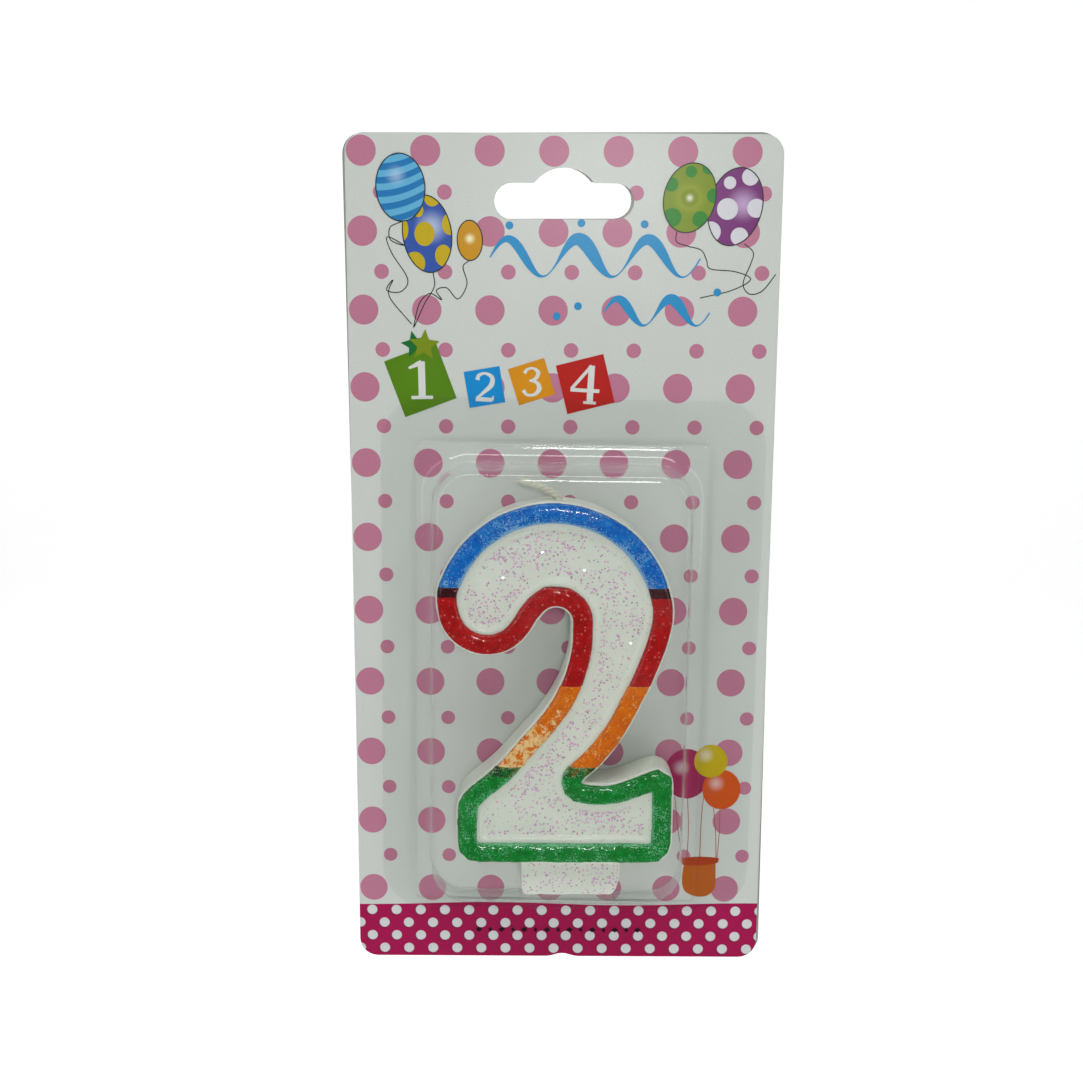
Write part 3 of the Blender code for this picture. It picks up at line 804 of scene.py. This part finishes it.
def white_wax():
    """Soft white paraffin: light inside it, faint mottling, a skin of tiny pits."""
    graph = Graph("white_candle_wax")
    cloud = graph.noise(6.0, detail=4.0, rough=0.6)
    colour = graph.mix(cloud, linear(216, 223, 210), linear(229, 234, 222))
    distance, chance, tint = graph.cells(0.62)
    cluster = graph.noise(7.0, detail=1.0)
    present = graph.math("LESS_THAN", chance, graph.ramp(cluster, 0.35, 0.65, 0.10, 0.32))
    fleck = graph.times(graph.less(distance, 0.16, 0.06), present)
    fleck_colour = graph.mix(tint, linear(186, 140, 178), linear(206, 196, 214))
    colour = graph.mix(graph.times(fleck, 0.75), colour, fleck_colour)
    skin = graph.bump(graph.noise(0.9, detail=3.0), 0.05)
    skin = graph.bump(graph.noise(0.18, detail=2.0), 0.008, skin)
    graph.look(Base_Color=colour, Roughness=graph.ramp(cloud, 0.3, 0.7, 0.36, 0.5), Normal=skin)
    graph.look(Subsurface_Weight=0.35, Subsurface_Radius=(0.9, 0.8, 0.7), Subsurface_Scale=1.6 * MM)
    graph.look(Specular_IOR_Level=0.35, Coat_Weight=0.25, Coat_Roughness=0.12)
    return graph.material


def chip_foot(mesh):
    """Breaks the foot's lower edge into small chips, most at its two corners."""
    bottom = min(vertex.co.z for vertex in mesh.vertices)
    middle = place(2.8, 0.0)
    for vertex in mesh.vertices:
        reach = (vertex.co.z - bottom) / MM
        if reach < 2.5:
            corner = min(1.0, abs(vertex.co.x - middle.x) / (11.0 * MM)) ** 4
            lift = (0.15 + 0.8 * corner) * max(0.0, noise.noise(vertex.co / (1.6 * MM)) + 0.25)
            vertex.co.z += lift * (1.0 - reach / 2.5) * MM


def candle_wax():
    """The white wax figure: the CAD body remeshed fine, with soft edges and a hand-poured skin."""
    points, faces = welded("candle_body")
    mesh = remeshed("candle_wax", points, faces, 0.32, 22)
    roughened(mesh, [(14.0, 0.10), (2.4, 0.05), (0.9, 0.02)])
    chip_foot(mesh)
    return add_piece("candle_wax", mesh, "candle", [white_wax()], True, ("candle_body",))


# Deep, bright and frost colours; how much frost lies in patches and how much more on the inner side;
# the frost's grain size; spacing, radius and share of the pale specks; depth of the surface's lumps
RIM_LOOKS = {
    "blue": dict(
        deep=linear(0, 80, 178), bright=linear(0, 122, 208), frost=linear(132, 188, 228),
        patches=1.00, inner=1.75, grain=0.28, spacing=0.55, radius=0.14, share=0.60, lumps=0.03),
    "red": dict(
        deep=linear(150, 2, 4), bright=linear(190, 12, 12), frost=linear(226, 118, 134),
        patches=0.0, inner=0.30, grain=0.30, spacing=1.25, radius=0.21, share=0.42, lumps=0.03),
    "orange": dict(
        deep=linear(206, 92, 0), bright=linear(226, 116, 0), frost=linear(246, 184, 60),
        patches=0.40, inner=0.30, grain=0.36, spacing=0.80, radius=0.17, share=0.34, lumps=0.10),
    "green": dict(
        deep=linear(0, 108, 26), bright=linear(0, 146, 52), frost=linear(120, 206, 154),
        patches=0.95, inner=1.10, grain=0.30, spacing=0.62, radius=0.16, share=0.50, lumps=0.11),
}
RIM_NODES = ("rim_blue", "rim_red_left", "rim_red_right")
RIM_NODES += ("rim_orange_left", "rim_orange_right", "rim_green")
PANEL_SPINE = [(-17, -17), (-14, -6), (-3, 2), (9, -4), (13, -18)]
PANEL_SPINE += [(7, -33), (-2, -46), (-8, -57), (6, -58), (17, -57)]


def mark_inner_side(mesh):
    """Stores at each vertex how much its surface turns towards the middle of the white panel, 0 to 1."""
    mesh.update()
    spine = np.array([place(*knot) for knot in smooth_line(PANEL_SPINE)])[:, (0, 2)]
    points = np.array([vertex.co for vertex in mesh.vertices])[:, (0, 2)]
    normals = np.array([vertex.normal for vertex in mesh.vertices])[:, (0, 2)]
    gaps = np.linalg.norm(points[:, None] - spine[None], axis=2)
    towards = spine[gaps.argmin(1)] - points
    towards /= np.linalg.norm(towards, axis=1)[:, None]
    inner = 0.5 + 0.5 * (normals * towards).sum(1)
    mesh.attributes.new("inner_side", "FLOAT", "POINT").data.foreach_set("value", inner.astype(np.float32))


def overlap_zone(graph, top, depth):
    """1 in the strip just under a colour's top edge, where it lies over the next colour."""
    wobble = graph.times(graph.add(graph.noise(2.0), -0.5), 0.9)
    level = graph.add(graph.add(graph.z, -top / MM), wobble)
    return graph.math("SUBTRACT", 1.0, graph.less(level, -depth, 0.16))


def red_details(graph, base, top):
    """A maroon cap where red lies over blue, pale rings left by bubbles, and a painted shade line along the
    arch's top.
    """
    distance, chance, _ = graph.cells(0.9)
    disc = graph.less(distance, 0.28, 0.06)
    ring = graph.times(disc, graph.math("SUBTRACT", 1.0, graph.less(distance, 0.17, 0.06)))
    ring = graph.times(ring, graph.math("LESS_THAN", chance, 0.22))
    base = graph.mix(graph.times(ring, 0.6), base, linear(226, 120, 110))
    arch = graph.spot((-1.3, -3.5), 12.5, 5.5)
    caps = graph.math("SUBTRACT", overlap_zone(graph, top, 2.3), arch)
    base = graph.mix(graph.math("MAXIMUM", caps, 0.0), base, linear(56, 8, 18))
    # painted shade: a thin darker red line just under the arch's top edge
    arch_shade_line = graph.times(arch, overlap_zone(graph, top, 0.1))
    return graph.mix(graph.times(arch_shade_line, 0.8), base, linear(110, 8, 16))


def orange_details(graph, base, top):
    """Cream patches where white wax shows through, low on the left-hand strip."""
    left = graph.less(graph.x, 1.0, 3.0)
    low = graph.less(graph.add(graph.z, -top / MM), -9.0, 12.0)
    streaks = graph.noise(2.0, detail=5.0, rough=0.8, distortion=0.4)
    patch = graph.ramp(graph.add(streaks, graph.times(graph.times(left, low), 0.14)), 0.59, 0.64)
    return graph.mix(graph.times(patch, 0.85), base, linear(238, 214, 150))


def green_details(graph, base, top):
    """Brown-green under the orange's edge."""
    tint = graph.mix(graph.ramp(graph.noise(1.6), 0.4, 0.6), linear(20, 46, 6), linear(120, 84, 10))
    stroke = graph.less(graph.x, 11.0, 1.0)
    streaks = graph.ramp(graph.noise(1.8, detail=3.0), 0.35, 0.55, 0.35, 0.95)
    return graph.mix(graph.times(graph.times(overlap_zone(graph, top, 2.4), stroke), streaks), base, tint)


RIM_DETAILS = {"red": red_details, "orange": orange_details, "green": green_details}


def rim_wax(colour, top):
    """Coloured wax with frosty crystals in it, thickest in patches and along its inner edge."""
    values = RIM_LOOKS[colour]
    graph = Graph(colour + "_candle_wax")
    cloud = graph.noise(1.6, detail=4.0, rough=0.65)
    base = graph.mix(graph.ramp(cloud, 0.3, 0.7), values["deep"], values["bright"])
    if colour in RIM_DETAILS:
        base = RIM_DETAILS[colour](graph, base, top)
    patch = graph.ramp(graph.noise(3.4, detail=3.0, rough=0.6), 0.36, 0.68)
    edge = graph.ramp(graph.attribute("inner_side"), 0.60, 0.88, 0.0, values["inner"])
    amount = graph.add(graph.times(patch, values["patches"]), edge)
    grain = graph.noise(values["grain"], detail=2.0, rough=0.6)
    frost = graph.ramp(graph.add(grain, graph.times(amount, 0.17)), 0.66, 0.72)
    distance, chance, tint = graph.cells(values["spacing"])
    present = graph.math("LESS_THAN", chance, graph.times(graph.add(patch, 0.35), values["share"]))
    dot = graph.less(distance, values["radius"], 0.08)
    speck = graph.times(dot, graph.times(present, graph.add(tint, 0.3)))
    frost = graph.math("MINIMUM", graph.math("MAXIMUM", frost, speck), 1.0)
    base = graph.mix(graph.times(frost, 0.85), base, values["frost"])
    skin = graph.bump(graph.noise(1.1, detail=3.0), 0.04)
    skin = graph.bump(frost, 0.05, skin)
    graph.look(Base_Color=base, Roughness=graph.ramp(frost, 0.0, 1.0, 0.34, 0.5), Normal=skin)
    graph.look(Specular_IOR_Level=0.15, Coat_Weight=0.60, Coat_Roughness=0.05)
    return graph.material


def band_edges():
    """Heights where the colours meet, halfway across the gaps between the CAD rims."""
    blue_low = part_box("rim_blue")[0].z
    red_low, red_high = (corner.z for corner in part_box("rim_red_right"))
    orange_low, orange_high = (corner.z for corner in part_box("rim_orange_right"))
    green_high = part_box("rim_orange_right")[0].z - (red_low - orange_high)
    return ((blue_low + red_high) / 2, (red_low + orange_high) / 2, (orange_low + green_high) / 2)


def coloured_rims():
    """Each bead of coloured wax, set down on the white wax and run into the next colour."""
    edges = band_edges()
    tops = {"blue": None, "red": edges[0], "orange": edges[1], "green": edges[2]}
    looks = {colour: rim_wax(colour, tops[colour]) for colour in RIM_LOOKS}
    base = CARD_FACE - (LEDGE + 0.35) * MM
    rims = []
    for node in RIM_NODES:
        colour = node.split("_")[1]
        points, faces = welded(node)
        for point in points:
            if point.y > base:
                point.y = CARD_FACE - RIM_FOOT * MM
            for edge in edges:
                if abs(point.z - edge) < SEAM_REACH * MM:
                    point.z += math.copysign(SEAM_SHIFT * MM, edge - point.z)
        mesh = remeshed(node.replace("rim", "bead"), points, faces, 0.22, 9)
        roughened(mesh, [(5.0, 0.12), (1.4, RIM_LOOKS[colour]["lumps"]), (0.5, 0.02)])
        mark_inner_side(mesh)
        rims.append(add_piece(mesh.name, mesh, "candle", [looks[colour]], True, (node,)))
    return rims


def glitter_flake(name, colour, metallic, rough):
    """The look of one kind of flake."""
    graph = Graph(name)
    shimmer = graph.mix(graph.noise(0.4), colour, tuple(min(1.0, c * 1.5 + 0.1) for c in colour))
    return graph.look(Base_Color=shimmer, Metallic=metallic, Roughness=rough)


GLITTER_MARGIN = 1.3  # mm of bare wax beside the coloured beads
GLITTER_TRIES = 5200
GLITTER_FRONT = 9.0  # flakes lie only on wax this far forward of the card
SPARKLES = [(-4.6, 5.4), (5.2, 1.2), (-13.6, -0.6), (16.2, -16.0), (3.4, -52.0)]


def hexagon(shell, centre, normal, radius, spin, number):
    """One flake, facing along a normal."""
    side = normal.orthogonal().normalized()
    other = normal.cross(side)
    angles = [spin + i * math.pi / 3 for i in range(6)]
    corners = [shell.verts.new(centre + radius * around(angle, side, other)) for angle in angles]
    flake = shell.faces.new(corners)
    face_forward(flake)
    flake.material_index = number


def glitter(wax, rims):
    """Hexagonal glitter flakes lying in the white wax's front, none under or close beside the beads."""
    draw = random.Random(11)
    trees = [BVHTree.FromObject(rim, bpy.context.evaluated_depsgraph_get()) for rim in rims]
    body = BVHTree.FromObject(wax, bpy.context.evaluated_depsgraph_get())
    limit = CARD_FACE - GLITTER_FRONT * MM
    fronts = [face for face in wax.data.polygons if face.normal.y < -0.96 and face.center.y < limit]
    shell = bmesh.new()
    towards = Vector((0.0, -1.0, 0.0))
    for face in draw.sample(fronts, GLITTER_TRIES):
        density = noise.noise(face.center / (9.0 * MM)) + 0.6 * noise.noise(face.center / (3.0 * MM))
        if draw.random() > 0.50 + 0.6 * density:
            continue
        if any(tree.find_nearest(face.center, GLITTER_MARGIN * MM)[0] for tree in trees):
            continue
        tilt = Vector([draw.uniform(-0.05, 0.05) for _ in range(3)])
        kind = draw.choices((0, 1, 2), (0.62, 0.32, 0.06))[0]
        centre = face.center + face.normal * 0.05 * MM
        radius = draw.uniform(0.20, 0.27) * MM
        hexagon(shell, centre, (face.normal + tilt).normalized(), radius, draw.uniform(0.0, math.pi), kind)
    for x, y in SPARKLES:
        start = place(x, y, 20.0)
        centre = body.ray_cast(start, -towards)[0] + 0.12 * MM * towards
        hexagon(shell, centre, halfway_to_lamp(centre), 0.30 * MM, 0.2, 2)
    looks = [
        glitter_flake("glitter_pink", linear(196, 146, 182), 0.0, 0.45),
        glitter_flake("glitter_violet", linear(160, 130, 156), 0.0, 0.4),
        glitter_flake("glitter_silver", linear(232, 228, 234), 0.35, 0.15),
    ]
    mesh = new_mesh("glitter_flakes", shell)
    return add_piece("glitter_flakes", mesh, "candle", looks)


def halfway_to_lamp(point):
    """The way a flake faces when it catches the overhead lamp."""
    to_lamp = (Vector(KEY_LAMP) - point).normalized()
    to_viewer = (Vector(VIEWPOINT) - point).normalized()
    return (to_lamp + to_viewer).normalized()


WICK_ROUTE = [(-0.5, -1.5), (-0.5, 8.0), (-0.5, 15.5), (-0.9, 17.4)]
WICK_ROUTE += [(-2.6, 18.8), (-5.0, 20.0), (-7.8, 21.0), (-10.4, 21.7)]
WICK_DEPTH = 6.0
WICK_STRANDS = 3
STRAND_SIDES = 10
WICK_TWIST = 4.2  # mm along the wick for one turn of a strand
STRAND_RADIUS = 0.54
STRAND_ORBIT = 0.40


def cotton():
    """Off-white cotton fibre with a little wax on it."""
    graph = Graph("waxed_cotton")
    fibre = graph.noise(0.12, detail=4.0, rough=0.7)
    colour = graph.mix(fibre, linear(196, 196, 178), linear(222, 222, 206))
    graph.look(Base_Color=colour, Roughness=0.7, Normal=graph.bump(fibre, 0.05), Sheen_Weight=0.25)
    return graph.look(Coat_Weight=0.1, Coat_Roughness=0.35)


def heading(line, i):
    """The way a line of points runs at one of them."""
    return (line[min(i + 1, len(line) - 1)] - line[max(i - 1, 0)]).normalized()


def wick():
    """Three waxed cotton strands twisted about the wick's centre line."""
    line = [place(x, y, WICK_DEPTH) for x, y in smooth_line(WICK_ROUTE, steps=24)]
    lengths = [0.0]
    for before, after in zip(line, line[1:]):
        lengths.append(lengths[-1] + (after - before).length / MM)
    backward = Vector((0.0, 1.0, 0.0))
    shell = bmesh.new()
    for strand in range(WICK_STRANDS):
        centres = []
        for i, point in enumerate(line):
            side = heading(line, i).cross(backward)
            angle = 2 * math.pi * (strand / WICK_STRANDS + lengths[i] / WICK_TWIST)
            centres.append(point + STRAND_ORBIT * MM * around(angle, side, backward))
        rings = []
        for i, centre in enumerate(centres):
            along = heading(centres, i)
            side = along.cross(backward).normalized()
            depth = side.cross(along)
            taper = min(1.0, 0.25 + (lengths[-1] - lengths[i]) / 1.2)
            ring = []
            for k in range(STRAND_SIDES):
                lump = 1.0 + 0.10 * noise.noise(Vector((i, k, strand * 7.0)))
                radius = STRAND_RADIUS * taper * MM * lump
                offset = radius * around(2 * math.pi * k / STRAND_SIDES, side, depth)
                ring.append(shell.verts.new(centre + offset))
            rings.append(ring)
        for lower, upper in zip(rings, rings[1:]):
            for k in range(STRAND_SIDES):
                after = (k + 1) % STRAND_SIDES
                shell.faces.new((lower[k], lower[after], upper[after], upper[k]))
        shell.faces.new(rings[0])
        shell.faces.new(rings[-1])
    bmesh.ops.recalc_face_normals(shell, faces=shell.faces)
    mesh = new_mesh("twisted_wick", shell)
    return add_piece("twisted_wick", mesh, "candle", [cotton()], True, ("wick",))


# ---------------------------------------------------------------- studio

FLOOR_DROP = 0.25  # metres, as are the next five
FLOOR_FRONT = -0.8
FLOOR_BACK = 0.9
SWEEP_RADIUS = 0.5
BACKDROP_HEIGHT = 2.4
HALF_WIDTH = 2.5
LENS = 38.2  # mm, on a sensor 36 mm wide
CAMERA_TILT = 81.14  # degrees, as is the roll
CAMERA_ROLL = 0.315


def studio():
    """A pale seamless floor and backdrop under a soft overhead light."""
    graph = Graph("studio_paper")
    graph.look(Base_Color=(0.93, 0.93, 0.93), Roughness=0.9)
    graph.look(Emission_Color=(1.0, 1.0, 1.0), Emission_Strength=0.60)
    floor = rear_low.z - FLOOR_DROP
    profile = [(FLOOR_FRONT, floor), (FLOOR_BACK, floor)]
    profile += arc((FLOOR_BACK, floor + SWEEP_RADIUS), SWEEP_RADIUS, 270, 360, 16)
    profile.append((FLOOR_BACK + SWEEP_RADIUS, floor + BACKDROP_HEIGHT))
    shell = bmesh.new()
    left, right = [[shell.verts.new((x, y, z)) for y, z in profile] for x in (-HALF_WIDTH, HALF_WIDTH)]
    for i in range(len(profile) - 1):
        shell.faces.new((left[i], right[i], right[i + 1], left[i + 1]))
    mesh = new_mesh("studio_sweep", shell)
    mesh.materials.append(graph.material)
    mesh.shade_smooth()
    sweep = new_object("studio_sweep", mesh)
    sweep.visible_glossy = False  # the bright floor would mirror in the film as a white veil


def lamp(name, place_at, target, size, power):
    """A rectangular soft light; size is its width and height."""
    light = bpy.data.lights.new(name, "AREA")
    light.shape = "RECTANGLE"
    light.size, light.size_y = size
    light.energy = power
    holder = new_object(name, light)
    holder.location = place_at
    holder.rotation_euler = (Vector(target) - Vector(place_at)).to_track_quat("-Z", "Y").to_euler()


def lighting():
    """A long overhead light, two weak ones at the sides, and one that glances off the card's top."""
    middle = (0.0, 0.0, CARD_MIDDLE)
    lamp("overhead", KEY_LAMP, middle, (1.1, 0.14), 5.0)
    lamp("left", (-0.75, -0.75, 0.20), middle, (0.22, 0.9), 1.5)
    lamp("right", (0.80, -0.70, 0.10), middle, (0.20, 0.8), 1.1)
    lamp("glance", (0.06, -0.89, 0.13), (0.01, 0.0, 0.0), (0.16, 0.10), 1.5)
    world = bpy.data.worlds.new("soft_room")
    world.use_nodes = True
    world.node_tree.nodes["Background"].inputs["Color"].default_value = (1.0, 1.0, 1.0, 1.0)
    world.node_tree.nodes["Background"].inputs["Strength"].default_value = 0.06
    bpy.context.scene.world = world
    bpy.context.scene.view_settings.view_transform = "Standard"


def camera():
    """The photograph's viewpoint: a hand-held camera a little above the middle, tipped down."""
    lens = bpy.data.cameras.new("camera")
    lens.lens = LENS
    lens.sensor_width = 36.0
    lens.clip_start = 0.01
    viewer = new_object("camera", lens)
    tilt = Matrix.Rotation(math.radians(CAMERA_TILT), 4, "X")
    roll = Matrix.Rotation(math.radians(CAMERA_ROLL), 4, "Z")
    viewer.matrix_world = Matrix.Translation(VIEWPOINT) @ tilt @ roll
    bpy.context.scene.camera = viewer


camera()
lighting()
studio()
for node, look in (("backing_card_front", card_print()), ("backing_card_rear", rear_print())):
    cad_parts[node].data.materials.clear()
    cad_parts[node].data.materials.append(look)
left_balloons()
right_balloons()
streamers()
number_tiles()
basket_balloons()
band_ornament()
candle = candle_wax()
beads = coloured_rims()
glitter(candle, beads)
wick()
blister_film()

bpy.context.view_layer.update()
